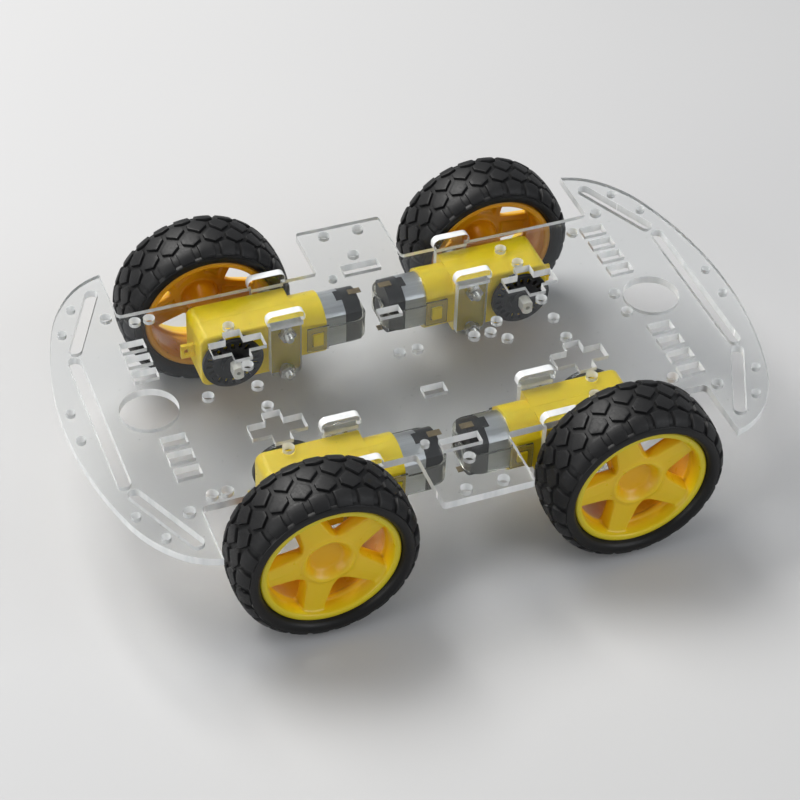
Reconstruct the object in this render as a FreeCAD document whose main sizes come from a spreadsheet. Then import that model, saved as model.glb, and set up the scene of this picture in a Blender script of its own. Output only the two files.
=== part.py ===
import FreeCAD, Part
import math, os
import Sketcher
from FreeCAD import Vector, Rotation, Placement

# Four wheel robot chassis: a clear acrylic deck with four plastic gear motors hung
# under it between clear T brackets, a wheel on each outer output shaft and an
# encoder disc on each inner output shaft.
# +X is the front end, +Y the left side, +Z up; the origin is on the ground under
# the middle of the deck.  The front left corner is modelled; the other three
# corners carry the same parts turned by half turns, as on the real kit.

doc = FreeCAD.newDocument("robot_chassis")

# ------------------------------------------------------------------ dimensions
sheet = doc.addObject("Spreadsheet::Sheet", "Sheet")


class Q:
    """A number that remembers the expression it came from."""

    def __init__(self, v, e):
        self.v = float(v)
        self.e = e

    def _w(self, o):
        return o if isinstance(o, Q) else Q(o, repr(float(o)))

    def __add__(self, o):
        o = self._w(o)
        return Q(self.v + o.v, "(%s + %s)" % (self.e, o.e))

    __radd__ = __add__

    def __sub__(self, o):
        o = self._w(o)
        return Q(self.v - o.v, "(%s - %s)" % (self.e, o.e))

    def __rsub__(self, o):
        return self._w(o) - self

    def __mul__(self, o):
        o = self._w(o)
        return Q(self.v * o.v, "(%s * %s)" % (self.e, o.e))

    __rmul__ = __mul__

    def __truediv__(self, o):
        o = self._w(o)
        return Q(self.v / o.v, "(%s / %s)" % (self.e, o.e))

    def __neg__(self):
        return Q(-self.v, "(0 - %s)" % self.e)


def q(o):
    return o if isinstance(o, Q) else Q(o, repr(float(o)))


ROW = [0]


def dim(alias, value, note):
    ROW[0] += 1
    n = ROW[0]
    sheet.set("A%d" % n, alias)
    sheet.set("B%d" % n, repr(float(value)))
    sheet.set("C%d" % n, note)
    sheet.setAlias("B%d" % n, alias)
    return Q(value, "Sheet." + alias)


HALF_BASE = dim("half_wheelbase", 55.75, "axle to middle of deck")
AXLE_Z = dim("axle_height", 32.5, "wheel axle above ground")
TYRE_R = dim("tyre_radius", 32.5, "tyre outer radius")
WHEEL_Y = dim("wheel_centre", 66.7, "wheel mid plane from the centre line")
TYRE_W = dim("tyre_width", 25.0, "tyre width")
RIM_R = dim("rim_lip_radius", 24.5, "rim lip radius")
RIM_W = dim("rim_width", 20.9, "rim lip to lip")
PLATE_T = dim("deck_thickness", 3.0, "acrylic sheet")
PLATE_GAP = dim("deck_gap", 0.35, "air between gearbox and deck")
GB_H = dim("gearbox_height", 22.5, "gearbox body height")
GB_W = dim("gearbox_width", 18.8, "gearbox body width")
GB_Y = dim("gearbox_centre", 39.85, "gearbox parting plane from the centre line")
GB_NOSE = dim("gearbox_nose", 11.2, "output axis to nose")
GB_REAR = dim("gearbox_rear", 25.6, "output axis to start of motor neck")
NECK_END = dim("neck_end", 36.2, "output axis to end of motor neck")
HOLE_U = dim("clamp_hole_offset", 19.75, "output axis to clamp screws")
HOLE_Z = dim("clamp_hole_rise", 8.75, "clamp screw above and below the axle")
BRK_T = dim("bracket_thickness", 3.0, "acrylic sheet of the T brackets")
BRK_STEM = dim("bracket_stem_width", 11.6, "T bracket stem")
BRK_HEAD = dim("bracket_head_width", 14.3, "T bracket head")
BRK_HEAD_H = dim("bracket_head_height", 4.2, "T bracket head above the deck")
SCREW_R = dim("clamp_screw_radius", 1.5, "M3 thread")
SCREW_HOLE_R = dim("clamp_hole_radius", 1.6, "clearance hole for M3")
SCREW_L = dim("clamp_screw_length", 30.0, "M3 x 30")
SHAFT_R = dim("output_shaft_radius", 2.7, "double D output shaft")
SHAFT_FLAT = dim("output_shaft_half_flat", 1.85, "half the distance over flats")
SHAFT_L = dim("output_shaft_half_length", 18.5, "half of the shaft end to end")
CAN_R = dim("motor_can_radius", 10.05, "motor can")
CAN_FLAT = dim("motor_can_half_flat", 7.55, "half the distance over can flats")
CAN_U = dim("motor_can_front", 28.8, "output axis to can front face")
CAN_END = dim("motor_can_rear", 44.2, "output axis to can rear edge")
MOTOR_END = dim("motor_end", 50.4, "output axis to end cap face")
DISC_R = dim("encoder_radius", 11.3, "encoder disc")
DISC_T = dim("encoder_thickness", 1.5, "encoder disc")
HOLE_M4 = dim("deck_hole_radius", 2.1, "deck holes for M4")
HOLE_M3 = dim("deck_small_hole_radius", 1.6, "deck holes for M3")
HOLE_BIG = dim("deck_cable_hole_radius", 10.25, "cable holes at the deck ends")
SLOT_R = dim("deck_slot_half_width", 2.3, "long slots")

PLATE_Z = AXLE_Z + GB_H / 2 + PLATE_GAP          # deck underside
PLATE_TOP = PLATE_Z + PLATE_T
GB_HALF = GB_W / 2
OUT_FACE = GB_Y + GB_HALF                         # gearbox face towards the wheel
IN_FACE = GB_Y - GB_HALF                          # gearbox face towards the middle
GAP = 0.05

doc.recompute()

# ------------------------------------------------------------------ helpers


def bind(obj, prop, val):
    val = q(val)
    obj.setExpression(prop, val.e)


def place(obj, x, y, z, rot=None):
    x, y, z = q(x), q(y), q(z)
    obj.Placement = Placement(Vector(x.v, y.v, z.v), rot or Rotation())
    bind(obj, "Placement.Base.x", x)
    bind(obj, "Placement.Base.y", y)
    bind(obj, "Placement.Base.z", z)


ROT = {"X": Rotation(Vector(0, 1, 0), 90), "Y": Rotation(Vector(1, 0, 0), -90), "Z": Rotation()}


def cyl(name, r, h, pos, axis="Z"):
    """Cylinder whose start face centre is pos, running along +axis."""
    c = doc.addObject("Part::Cylinder", name)
    r, h = q(r), q(h)
    c.Radius, c.Height = r.v, h.v
    bind(c, "Radius", r)
    bind(c, "Height", h)
    place(c, pos[0], pos[1], pos[2], ROT[axis])
    return c


def box(name, x, y, z):
    b = doc.addObject("Part::Box", name)
    x0, x1, y0, y1, z0, z1 = [q(a) for a in (x[0], x[1], y[0], y[1], z[0], z[1])]
    for prop, lo, hi in (("Length", x0, x1), ("Width", y0, y1), ("Height", z0, z1)):
        setattr(b, prop, hi.v - lo.v)
        bind(b, prop, hi - lo)
    place(b, x0, y0, z0)
    return b


def fuse(name, parts):
    if len(parts) == 1:
        return parts[0]
    m = doc.addObject("Part::MultiFuse", name)
    m.Shapes = parts
    m.Refine = True
    return m


def cut(name, base, tools):
    t = fuse(name + "_tool", tools)
    c = doc.addObject("Part::Cut", name)
    c.Base, c.Tool = base, t
    c.Refine = True
    return c


def common(name, a, b):
    c = doc.addObject("Part::Common", name)
    c.Base, c.Tool = a, b
    c.Refine = True
    return c


def group(name, parts):
    g = doc.addObject("Part::Compound", name)
    g.Links = parts
    return g


def origin(body, role):
    for f in body.Origin.OriginFeatures:
        if f.Role == role:
            return f


def new_body(name, x=0, y=0, z=0):
    b = doc.addObject("PartDesign::Body", name)
    place(b, x, y, z)
    return b


def sketch(body, name, plane, geo, off=0):
    s = body.newObject("Sketcher::SketchObject", name)
    s.AttachmentSupport = [(origin(body, plane), "")]
    s.MapMode = "FlatFace"
    off = q(off)
    s.AttachmentOffset = Placement(Vector(0, 0, off.v), Rotation())
    bind(s, "AttachmentOffset.Base.z", off)
    s.addGeometry(geo, False)
    return s


def loop(pts):
    """Closed polygon; a point given as (x, y, 'arc', mx, my) ends an arc through (mx, my)."""
    g = []
    n = len(pts)
    for i in range(n):
        a, b = pts[i], pts[(i + 1) % n]
        pa, pb = Vector(a[0], a[1], 0), Vector(b[0], b[1], 0)
        if len(b) > 2:
            g.append(Part.Arc(pa, Vector(b[3], b[4], 0), pb))
        else:
            g.append(Part.LineSegment(pa, pb))
    return g


def circle(x, y, r):
    return Part.Circle(Vector(x, y, 0), Vector(0, 0, 1), r)


def pad(body, name, sk, length, mid=False):
    p = body.newObject("PartDesign::Pad", name)
    p.Profile = sk
    length = q(length)
    p.Length = length.v
    bind(p, "Length", length)
    if mid:
        p.Midplane = True
    body.Tip = p
    doc.recompute()
    return p


def pocket(body, name, sk, length=None, rev=False):
    before = body.Shape.Volume
    p = body.newObject("PartDesign::Pocket", name)
    p.Profile = sk
    if length is None:
        p.Type = 1
        p.Midplane = True
    else:
        length = q(length)
        p.Length = length.v
        bind(p, "Length", length)
    p.Reversed = rev
    body.Tip = p
    doc.recompute()
    if not body.Shape.Volume < before - 1e-6:
        p.Reversed = not rev
        doc.recompute()
    if not body.Shape.Volume < before - 1e-6:
        raise RuntimeError("pocket %s removes nothing" % name)
    return p


def revolve(body, name, sk):
    p = body.newObject("PartDesign::Revolution", name)
    p.Profile = sk
    p.ReferenceAxis = (sk, ["V_Axis"])
    p.Angle = 360
    body.Tip = p
    doc.recompute()
    return p


OUT = {}


def keep(label, obj):
    obj.Label = label
    OUT[label] = obj
    return obj


def turned(label, obj, kind):
    """The same part at another corner: a half turn about an axis at axle height."""
    g = doc.addObject("Part::Compound", label)
    g.Links = [obj]
    if kind == "rear_left":
        place(g, 0, 0, 2 * AXLE_Z, Rotation(Vector(0, 1, 0), 180))
    elif kind == "front_right":
        place(g, 0, 0, 2 * AXLE_Z, Rotation(Vector(1, 0, 0), 180))
    elif kind == "rear_right":
        place(g, 0, 0, 0, Rotation(Vector(0, 0, 1), 180))
    return g


CORNERS = ["front_left", "front_right", "rear_left", "rear_right"]


def four(stem, obj):
    keep(stem + "_front_left", obj)
    for k in CORNERS[1:]:
        keep(stem + "_" + k, turned(stem + "_" + k, obj, k))


def four_grouped(label, parts):
    """Four corners' worth of identical pieces as one group of separate solids."""
    base = parts[0] if len(parts) == 1 else group(label + "_set", parts)
    keep(label, group(label, [base] + [turned(label + "_" + k, base, k) for k in CORNERS[1:]]))


def four_upright(label, parts):
    """Four corners' worth of pieces that stay upright: a half turn about +Z and shifts along X."""
    base = parts[0] if len(parts) == 1 else group(label + "_set", parts)
    step = (HALF_BASE - HOLE_U) * 2
    a = group(label + "_rear_left", [base])
    place(a, -step, 0, 0)
    b = group(label + "_rear_right", [base])
    place(b, 0, 0, 0, Rotation(Vector(0, 0, 1), 180))
    c = group(label + "_front_right", [base])
    place(c, step, 0, 0, Rotation(Vector(0, 0, 1), 180))
    keep(label, group(label, [base, a, b, c]))


# position along the gear motor: u grows from the output axis to the motor end
def ux(u):
    return HALF_BASE - q(u)


# ------------------------------------------------------------------ deck
def outline():
    ear, ey, yi, xo, yt = 16.5, 75.0, 50.55, 91.5, 75.1
    bx, bh, rec = HALF_BASE.v - HOLE_U.v, BRK_STEM.v / 2 + 0.3, OUT_FACE.v - 0.05

    def quarter(sx, sy):
        k = 1 - math.sqrt(0.5)
        return [
            (sx * (ear - 1.2), sy * ey),
            (sx * ear, sy * (ey - 1.2), "arc", sx * (ear - 1.2 * k), sy * (ey - 1.2 * k)),
            (sx * ear, sy * (yi + 1.5)),
            (sx * (ear + 1.5), sy * yi, "arc", sx * (ear + 1.5 * k), sy * (yi + 1.5 * k)),
            (sx * (bx - bh), sy * yi), (sx * (bx - bh), sy * rec),
            (sx * (bx + bh), sy * rec), (sx * (bx + bh), sy * yi),
            (sx * (xo - 2.0), sy * yi),
            (sx * xo, sy * (yi + 2.0), "arc", sx * (xo - 2.0 * k), sy * (yi + 2.0 * k)),
            (sx * xo, sy * yt),
            (sx * 104.9, sy * 67.6, "arc", sx * 98.77, sy * 72.37),
            (sx * 115.6, sy * 50.0, "arc", sx * 111.2, sy * 59.4),
        ]

    def back(Qd):
        """The same quarter walked the other way, arcs kept."""
        R = []
        n = len(Qd)
        for i in range(n - 1, -1, -1):
            pt = (Qd[i][0], Qd[i][1])
            if i + 1 < n and len(Qd[i + 1]) > 2:
                pt = pt + ("arc", Qd[i + 1][3], Qd[i + 1][4])
            R.append(pt)
        return R

    a = quarter(1, 1)
    b = back(quarter(1, -1))
    b[0] = b[0] + ("arc", 124.0, 0.0)
    c = quarter(-1, -1)
    d = back(quarter(-1, 1))
    d[0] = d[0] + ("arc", -124.0, 0.0)
    return a + b + c + d


deck = new_body("deck", 0, 0, PLATE_Z)
sk = sketch(deck, "deck_outline", "XY_Plane", loop(outline()))
pad(deck, "deck_pad", sk, PLATE_T)

M4 = []
for sx in (1, -1):
    for sy in (1, -1):
        M4 += [(sx * 95.6, sy * 51.1), (sx * 55.75, sy * 11.1), (sx * 55.75, sy * 33.1), (sx * 6.7, sy * 70.7)]
for sy in (1, -1):
    M4 += [(-86.4, sy * 46.0), (-81.2, sy * 46.0), (82.3, sy * 43.0), (82.3, sy * 5.35), (0, sy * 57.0),
           (35.7, sy * 5.0), (52.8, sy * 42.4)]
M4 += [(-73.5, 0), (-55.75, 0), (55.75, 0), (3.4, 0), (-3.4, 0), (31.3, 0), (25.0, 0)]
M3 = [(sx * x, sy * y) for sx in (1, -1) for sy in (1, -1) for x, y in ((106.1, 59.9), (112.5, 47.5), (120.0, 7.0))]
M3 += [(-11.8, 46.1), (-11.8, -46.1)]


def hole_pocket(name, pts, radius):
    s = sketch(deck, name + "_sketch", "XY_Plane", [circle(x, y, radius.v) for x, y in pts], PLATE_T)
    cons = [Sketcher.Constraint("Radius", 0, radius.v)] + [Sketcher.Constraint("Equal", 0, i) for i in range(1, len(pts))]
    s.addConstraint(cons)
    s.setExpression("Constraints[0]", radius.e)
    pocket(deck, name, s, PLATE_T * 2)


hole_pocket("holes_m4", M4, HOLE_M4)
hole_pocket("holes_m3", M3, HOLE_M3)
hole_pocket("cable_holes", [(94.4, 0), (-94.4, 0)], HOLE_BIG)


def rect(cx, cy, w, hgt):
    return loop([(cx - w / 2, cy - hgt / 2), (cx + w / 2, cy - hgt / 2), (cx + w / 2, cy + hgt / 2), (cx - w / 2, cy + hgt / 2)])


def slot(x0, y0, x1, y1, r):
    dx, dy = x1 - x0, y1 - y0
    n = math.hypot(dx, dy)
    dx, dy = dx / n, dy / n
    nx, ny = -dy * r, dx * r
    return loop([(x0 + nx, y0 + ny, "arc", x0 - dx * r, y0 - dy * r), (x1 + nx, y1 + ny),
                 (x1 - nx, y1 - ny, "arc", x1 + dx * r, y1 + dy * r), (x0 - nx, y0 - ny)])


geo = []
for sy in (1, -1):
    for y in (17.4, 25.4, 33.3):
        geo += rect(-90.7, sy * y, 8.7, 5.1)
    for y in (17.4, 25.4, 33.3, 41.3):
        geo += rect(90.0, sy * y, 8.9, 5.0)
    geo += rect(0, sy * 49.0, 14.2, 5.2)
    geo += rect(1.1, sy * 21.9, 8.4, 4.9)
    for sx in (1, -1):
        geo += rect(sx * (HALF_BASE.v - HOLE_U.v), sy * (IN_FACE.v - BRK_T.v / 2 - 0.35), BRK_STEM.v + 0.7, BRK_T.v + 1.0)
        cx, cy = sx * 55.9, sy * 22.2
        a, b, c, d = 9.75, 3.5, 3.2, 7.7
        geo += loop([(cx - c, cy - d), (cx + c, cy - d), (cx + c, cy - b), (cx + a, cy - b), (cx + a, cy + b), (cx + c, cy + b),
                     (cx + c, cy + d), (cx - c, cy + d), (cx - c, cy + b), (cx - a, cy + b), (cx - a, cy - b), (cx - c, cy - b)])
sk = sketch(deck, "deck_windows", "XY_Plane", geo, PLATE_T)
pocket(deck, "windows", sk, PLATE_T * 2)
geo = []
for sx in (1, -1):
    geo += slot(sx * 112.0, -31.6, sx * 112.0, 31.6, SLOT_R.v)
    for sy in (1, -1):
        geo += slot(sx * 97.2, sy * 65.2, sx * 110.2, sy * 37.8, SLOT_R.v)
sk = sketch(deck, "deck_slots", "XY_Plane", geo, PLATE_T)
pocket(deck, "long_slots", sk, PLATE_T * 2)
keep("deck_plate", deck)


# ------------------------------------------------------------------ T brackets
def bracket(name, y_hi):
    b = new_body(name, ux(HOLE_U), 0, AXLE_Z)
    top = PLATE_TOP.v - AXLE_Z.v
    bot = -GB_H.v / 2
    w, hw, hh = BRK_STEM.v / 2, BRK_HEAD.v / 2, BRK_HEAD_H.v
    k = 1 - math.sqrt(0.5)
    rc, rb = 2.4, 2.0
    top = top + 0.02
    pts = [(w, top), (hw - 0.5, top), (hw, top + 0.5, "arc", hw - 0.5 * k, top + 0.5 * k), (hw, top + hh - rc),
           (hw - rc, top + hh, "arc", hw - rc * k, top + hh - rc * k),
           (-hw + rc, top + hh), (-hw, top + hh - rc, "arc", -hw + rc * k, top + hh - rc * k),
           (-hw, top + 0.5), (-hw + 0.5, top, "arc", -hw + 0.5 * k, top + 0.5 * k), (-w, top), (-w, bot + rb),
           (-w + rb, bot, "arc", -w + rb * k, bot + rb * k), (w - rb, bot), (w, bot + rb, "arc", w - rb * k, bot + rb * k)]
    sk = sketch(b, name + "_profile", "XZ_Plane", loop(pts), -y_hi)
    pad(b, name + "_pad", sk, BRK_T)
    s = sketch(b, name + "_holes", "XZ_Plane", [circle(0, HOLE_Z.v, SCREW_HOLE_R.v), circle(0, -HOLE_Z.v, SCREW_HOLE_R.v)], -y_hi)
    pocket(b, name + "_bores", s, BRK_T * 2)
    return b


b_in = bracket("bracket_in", IN_FACE - GAP)
b_out = bracket("bracket_out", OUT_FACE + GAP + BRK_T)
four_upright("inner_brackets", [b_in])
four_upright("outer_brackets", [b_out])
BR_IN = IN_FACE - GAP - BRK_T                     # inner face of the inner bracket
BR_OUT = OUT_FACE + GAP + BRK_T                   # outer face of the outer bracket


# ------------------------------------------------------------------ clamp screws and nuts
def hexagon(af, turn=0.0):
    rr = af / math.sqrt(3.0)
    return loop([(rr * math.cos(math.radians(60 * i + turn)), rr * math.sin(math.radians(60 * i + turn))) for i in range(6)])


def clamp_screw(name, sz):
    zc = AXLE_Z + q(sz) * HOLE_Z
    shank = cyl(name + "_shank", SCREW_R, SCREW_L, (ux(HOLE_U), BR_OUT - SCREW_L, zc), "Y")
    head = cyl(name + "_head", 2.75, 2.0, (ux(HOLE_U), BR_OUT + 0.02, zc), "Y")
    shank.Height = SCREW_L.v + 0.1
    bind(shank, "Height", SCREW_L + 0.1)
    slot_a = box(name + "_slot_a", (ux(HOLE_U) - 1.7, ux(HOLE_U) + 1.7), (BR_OUT + 1.0, BR_OUT + 2.5), (zc - 0.35, zc + 0.35))
    slot_b = box(name + "_slot_b", (ux(HOLE_U) - 0.35, ux(HOLE_U) + 0.35), (BR_OUT + 1.0, BR_OUT + 2.5), (zc - 1.7, zc + 1.7))
    solid = fuse(name + "_solid", [shank, head])
    return cut(name, solid, [slot_a, slot_b])


four_upright("clamp_screws", [clamp_screw("clamp_screw_top", 1), clamp_screw("clamp_screw_low", -1)])


def nut(name, sz, turn):
    b = new_body(name, ux(HOLE_U), 0, AXLE_Z + q(sz) * HOLE_Z)
    sk = sketch(b, name + "_hex", "XZ_Plane", hexagon(5.5, turn) + [circle(0, 0, SCREW_R.v + 0.03)], -(BR_IN - 0.02))
    pad(b, name + "_pad", sk, 2.4)
    return b


four_upright("clamp_nuts", [nut("nut_top", 1, 0.0), nut("nut_low", -1, 25.0)])

# ------------------------------------------------------------------ gearbox shells
V_WALL = 1.5
CAV_H = GB_H / 2 - V_WALL
CAV_W = GB_HALF - 1.5
CROWN_U, IDLER_U, IDLER_W = 16.5, 9.29, 1.99
NOSE_SCREW = (-8.2, 8.2)


def uv(u, w):
    """gearbox coordinates (u along, w up) to the body's own sketch coordinates"""
    return (-u, w)


def shell(name, outer):
    """One moulded half of the gearbox, from the parting plane to its outer face."""
    b = new_body(name, HALF_BASE, 0, AXLE_Z)
    hh, n, r0 = GB_H.v / 2, GB_NOSE.v, GB_REAR.v
    rr, k = 3.4, 1 - math.sqrt(0.5)
    prof = loop([(-r0, -hh), (n - rr, -hh), (n, -hh + rr, "arc", n - rr * k, -hh + rr * k), (n, hh - rr),
                 (n - rr, hh, "arc", n - rr * k, hh - rr * k), (-r0, hh)])
    if outer:
        y_hi = OUT_FACE
    else:
        y_hi = GB_Y
    sk = sketch(b, name + "_profile", "XZ_Plane", prof, -y_hi)
    pad(b, name + "_pad", sk, GB_HALF - (GAP if outer else 0.0))
    # outer edges of the moulding are softly rounded
    face_y = OUT_FACE.v if outer else IN_FACE.v
    edges = []
    for i, e in enumerate(b.Shape.Edges):
        bb = e.BoundBox
        if abs(bb.YMin - face_y) < 1e-3 and abs(bb.YMax - face_y) < 1e-3 and not (abs(bb.XMin - (HALF_BASE.v - r0)) < 1e-3 and abs(bb.XMax - (HALF_BASE.v - r0)) < 1e-3):
            edges.append("Edge%d" % (i + 1))
    flank = b.Tip
    f = b.newObject("PartDesign::Fillet", name + "_soft")
    f.Base = (flank, edges)
    f.Radius = 0.9
    b.Tip = f
    doc.recompute()
    y0 = (GB_Y + GAP) if outer else IN_FACE
    y1 = OUT_FACE if outer else GB_Y
    # round neck that grips the motor can
    neck = cyl(name + "_neck_round", GB_H / 2, NECK_END - GB_REAR + 1.0, (ux(NECK_END), GB_Y, AXLE_Z), "X")
    lim = 9.25
    side = box(name + "_neck_side", (ux(NECK_END + 1), ux(GB_REAR - 3)),
               (y0 if outer else GB_Y - lim, GB_Y + lim if outer else y1), (AXLE_Z - 12, AXLE_Z + 12))
    neck = common(name + "_neck", neck, side)
    # peg that the motor clip hooks over
    if outer:
        peg = box(name + "_peg", (ux(34.6), ux(30.8)), (GB_Y + 9.0, GB_Y + 10.75), (AXLE_Z - 2.6, AXLE_Z + 2.6))
    else:
        peg = box(name + "_peg", (ux(34.6), ux(30.8)), (GB_Y - 10.75, GB_Y - 9.0), (AXLE_Z - 2.6, AXLE_Z + 2.6))
    parts = [b, neck, peg]
    if not outer:
        tab = box(name + "_tab", (HALF_BASE + GB_NOSE - 0.5, HALF_BASE + GB_NOSE + 5.0), (GB_Y - 1.4, GB_Y - GAP * 0), (AXLE_Z - 2.8, AXLE_Z + 2.8))
        parts.append(tab)
    solid = fuse(name + "_solid", parts)
    # hollow for the gears, with bosses left round the screws
    cav = box(name + "_cav", (ux(24.6), ux(-(GB_NOSE.v - V_WALL))), (GB_Y - CAV_W, GB_Y + CAV_W), (AXLE_Z - CAV_H, AXLE_Z + CAV_H))
    bosses = []
    for s in (1, -1):
        bosses.append(cyl(name + "_boss%d" % (s + 2), 2.4, 16.8, (ux(HOLE_U), GB_Y - 8.4, AXLE_Z + s * HOLE_Z), "Y"))
        bosses.append(cyl(name + "_nboss%d" % (s + 2), 2.2, 16.8, (ux(NOSE_SCREW[0]), GB_Y - 8.4, AXLE_Z + s * NOSE_SCREW[1]), "Y"))
    cav = cut(name + "_hollow", cav, bosses)
    pocket_r = cyl(name + "_can_round", CAN_R + 0.1, NECK_END - CAN_U + 1.1, (ux(NECK_END + 1.0), GB_Y, AXLE_Z), "X")
    pocket_b = box(name + "_can_side", (ux(NECK_END + 2.0), ux(CAN_U - 1.0)), (GB_Y - CAN_FLAT - 0.1, GB_Y + CAN_FLAT + 0.1), (AXLE_Z - 12, AXLE_Z + 12))
    can_pocket = common(name + "_can_pocket", pocket_r, pocket_b)
    boss_hole = cyl(name + "_boss_hole", 3.2, 5.2, (ux(CAN_U + 0.5), GB_Y, AXLE_Z), "X")
    tools = [cav, can_pocket, boss_hole,
             cyl(name + "_bearing", SHAFT_R + 0.06, 24.0, (HALF_BASE, GB_Y - 12, AXLE_Z), "Y"),
             cyl(name + "_pin_a", 0.77, 17.2, (ux(CROWN_U), GB_Y - 8.6, AXLE_Z), "Y"),
             cyl(name + "_pin_b", 0.77, 17.2, (ux(IDLER_U), GB_Y - 8.6, AXLE_Z + IDLER_W), "Y")]
    for s in (1, -1):
        tools.append(cyl(name + "_clamp%d" % (s + 2), SCREW_HOLE_R, 24.0, (ux(HOLE_U), GB_Y - 12, AXLE_Z + s * HOLE_Z), "Y"))
        tools.append(cyl(name + "_nose%d" % (s + 2), 1.03, 14.0, (ux(NOSE_SCREW[0]), GB_Y - 3.0, AXLE_Z + s * NOSE_SCREW[1]), "Y"))
    if not outer:
        tools.append(cyl(name + "_tab_hole", 1.5, 6.0, (HALF_BASE + GB_NOSE + 2.6, GB_Y - 4, AXLE_Z), "Y"))
    return cut(name, solid, tools)


four("gearbox_outer_shell", shell("shell_out", True))
four("gearbox_inner_shell", shell("shell_in", False))


def nose_screw(name, s):
    zc = AXLE_Z + s * NOSE_SCREW[1]
    x = ux(NOSE_SCREW[0])
    sh = cyl(name + "_shank", 1.0, 12.1, (x, OUT_FACE - 12, zc), "Y")
    hd = cyl(name + "_head", 1.9, 1.2, (x, OUT_FACE + 0.02, zc), "Y")
    cr = box(name + "_cross", (x - 1.1, x + 1.1), (OUT_FACE + 0.7, OUT_FACE + 1.6), (zc - 0.25, zc + 0.25))
    cs = box(name + "_cross_b", (x - 0.25, x + 0.25), (OUT_FACE + 0.7, OUT_FACE + 1.6), (zc - 1.1, zc + 1.1))
    return cut(name, fuse(name + "_solid", [sh, hd]), [cr, cs])


four_grouped("gearbox_screws", [nose_screw("nose_screw_top", 1), nose_screw("nose_screw_low", -1)])
four_grouped("gear_pins", [cyl("crown_pin", 0.75, 17.0, (ux(CROWN_U), GB_Y - 8.5, AXLE_Z), "Y"),
                           cyl("idler_pin", 0.75, 17.0, (ux(IDLER_U), GB_Y - 8.5, AXLE_Z + IDLER_W), "Y")])


# ------------------------------------------------------------------ motor
def flat_round(name, r, flat, u0, u1):
    c = cyl(name + "_r", r, q(u1) - q(u0), (ux(u1), GB_Y, AXLE_Z), "X")
    b = box(name + "_f", (ux(q(u1) + 1), ux(q(u0) - 1)), (GB_Y - flat, GB_Y + flat), (AXLE_Z - 12, AXLE_Z + 12))
    return common(name, c, b)


can = fuse("can_solid", [flat_round("can_body", CAN_R, CAN_FLAT, CAN_U, CAN_END),
                         cyl("can_boss", 3.0, 1.7, (ux(CAN_U + 0.2), GB_Y, AXLE_Z), "X")])
can = cut("can", can, [flat_round("can_in", CAN_R - 0.9, CAN_FLAT - 0.9, CAN_U + 1.0, CAN_END + 1.0),
                       cyl("can_bore", 2.05, 4.0, (ux(CAN_U + 2.0), GB_Y, AXLE_Z), "X"),
                       box("can_notch_top", (ux(CAN_END + 1), ux(CAN_END - 2.0)), (GB_Y - 2.6, GB_Y + 2.6), (AXLE_Z + 8.0, AXLE_Z + 12)),
                       box("can_notch_low", (ux(CAN_END + 1), ux(CAN_END - 2.0)), (GB_Y - 2.6, GB_Y + 2.6), (AXLE_Z - 12, AXLE_Z - 8.0))])
four("motor_can", can)
cap = fuse("cap_solid", [flat_round("cap_body", CAN_R - 0.15, CAN_FLAT - 0.15, CAN_END + 0.03, MOTOR_END),
                         flat_round("cap_spigot", CAN_R - 0.95, CAN_FLAT - 0.95, CAN_END - 1.8, CAN_END + 0.5),
                         cyl("cap_boss", 2.9, 1.3, (ux(MOTOR_END + 1.2), GB_Y, AXLE_Z), "X"),
                         box("cap_key_top", (ux(CAN_END + 0.5), ux(CAN_END - 1.9)), (GB_Y - 2.5, GB_Y + 2.5), (AXLE_Z + 7.0, AXLE_Z + 9.9)),
                         box("cap_key_low", (ux(CAN_END + 0.5), ux(CAN_END - 1.9)), (GB_Y - 2.5, GB_Y + 2.5), (AXLE_Z - 9.9, AXLE_Z - 7.0))])
cap = cut("cap", cap, [flat_round("cap_in", CAN_R - 2.2, CAN_FLAT - 2.2, CAN_END - 2.5, MOTOR_END - 1.6),
                       cyl("cap_bore", 2.05, 3.0, (ux(MOTOR_END + 0.6), GB_Y, AXLE_Z), "X")])
four("motor_end_cap", cap)

# clear plastic clip round the motor's end, hooked on the gearbox pegs
CL_IN, CL_OUT, CL_END = 9.35, 10.2, MOTOR_END + 1.3
clip_out = new_body("clip_loop", HALF_BASE, 0, AXLE_Z)
e0, e1, u0 = CL_END.v, CL_END.v + 0.85, 28.6
yc = GB_Y.v
k = 1 - math.sqrt(0.5)
ro, ri = 6.0, 5.15
prof = loop([(-u0, yc - CL_OUT), (-u0, yc - CL_IN), (-(e0 - ri), yc - CL_IN),
             (-e0, yc - CL_IN + ri, "arc", -(e0 - ri * k), yc - CL_IN + ri * k),
             (-e0, yc + CL_IN - ri), (-(e0 - ri), yc + CL_IN, "arc", -(e0 - ri * k), yc + CL_IN - ri * k),
             (-u0, yc + CL_IN), (-u0, yc + CL_OUT), (-(e1 - ro), yc + CL_OUT),
             (-e1, yc + CL_OUT - ro, "arc", -(e1 - ro * k), yc + CL_OUT - ro * k),
             (-e1, yc - CL_OUT + ro), (-(e1 - ro), yc - CL_OUT, "arc", -(e1 - ro * k), yc - CL_OUT + ro * k)])
sk = sketch(clip_out, "clip_profile", "XY_Plane", prof, -5.4)
pad(clip_out, "clip_pad", sk, 10.8)
clip = cut("clip", clip_out, [
    box("clip_window", (ux(34.9), ux(30.5)), (GB_Y - 14, GB_Y + 14), (AXLE_Z - 2.9, AXLE_Z + 2.9)),
    box("clip_step_top", (ux(60), ux(36.9)), (GB_Y - 14, GB_Y + 14), (AXLE_Z + 4.4, AXLE_Z + 8)),
    box("clip_step_low", (ux(60), ux(36.9)), (GB_Y - 14, GB_Y + 14), (AXLE_Z - 8, AXLE_Z - 4.4)),
    cyl("clip_eye", 4.0, 6.0, (ux(CL_END + 3.0), GB_Y, AXLE_Z), "X")])
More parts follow.
